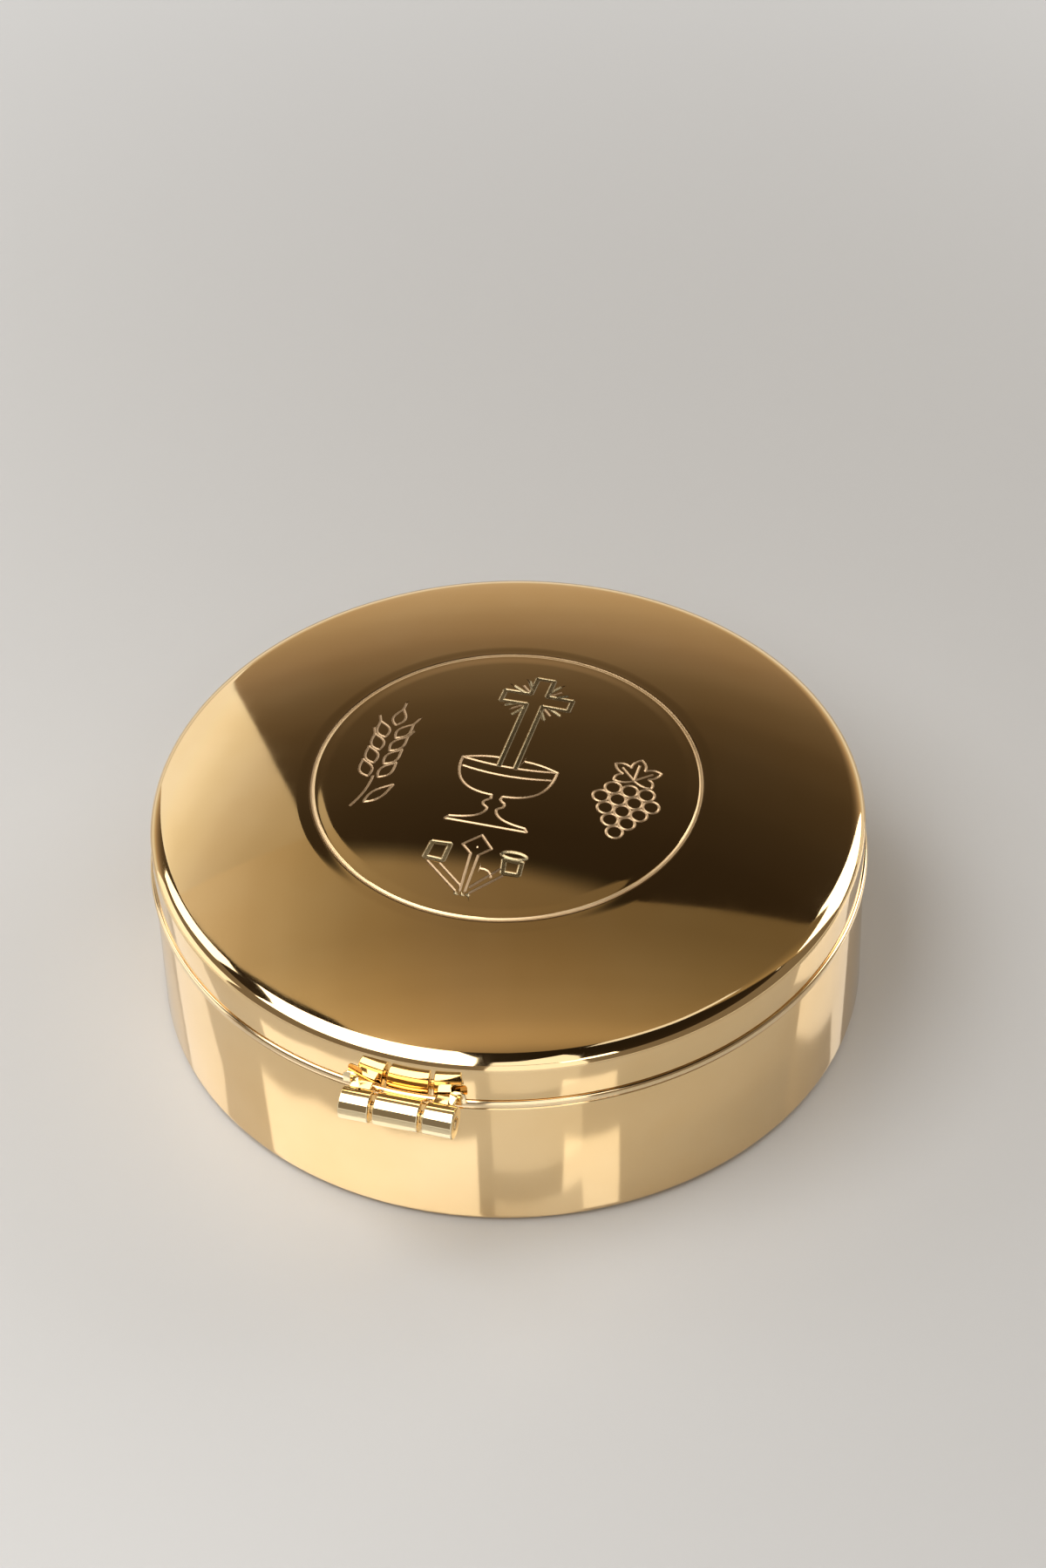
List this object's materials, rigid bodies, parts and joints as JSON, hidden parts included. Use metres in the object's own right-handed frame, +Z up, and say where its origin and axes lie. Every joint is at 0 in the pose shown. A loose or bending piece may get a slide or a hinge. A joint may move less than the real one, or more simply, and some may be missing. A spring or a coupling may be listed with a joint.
{
  "type": "pyx",
  "caption": "Round shallow host box in gilded brass, with a domed lid on an outboard knuckle hinge, a locating collar inside, a beaded lid edge and a small clasp.",
  "frame": {"origin": "centre of the flat underside, on the surface the box rests on", "axes": "+Z up through the crown of the lid; the lid's hinge is at -Y with its pin along X, and the clasp is at +Y"},
  "size_m": [0.0636, 0.0683, 0.0233],
  "materials": {
    "gilt_brass": "gold-plated, mirror polished",
    "gilt_fittings": "gold-plated, bright polished",
    "pin_brass": "drawn brass wire, lightly polished"
  },
  "bodies": {
    "base": {"base_shell": "gilt_brass", "base_collar": "gilt_brass", "hinge_knuckle_middle": "gilt_fittings", "hinge_pin": "pin_brass", "clasp_knuckle_left": "gilt_fittings", "clasp_knuckle_right": "gilt_fittings", "clasp_pin": "pin_brass"},
    "lid": {"lid_shell": "gilt_brass", "lid_rim_wire": "gilt_brass", "lid_catch": "gilt_fittings", "hinge_knuckle_left": "gilt_fittings", "hinge_knuckle_right": "gilt_fittings"},
    "clasp": {"clasp_leaf": "gilt_fittings"}
  },
  "joints": [
    {"name": "lid_hinge", "type": "hinge", "parent": "base", "child": "lid", "pos_m": [0, -0.03325, 0.01465], "axis": [1, 0, 0], "range_deg": [0, 180]},
    {"name": "clasp_hinge", "type": "hinge", "parent": "base", "child": "clasp", "pos_m": [0, 0.03265, 0.0121], "axis": [-1, 0, 0], "range_deg": [0, 165]}
  ]
}
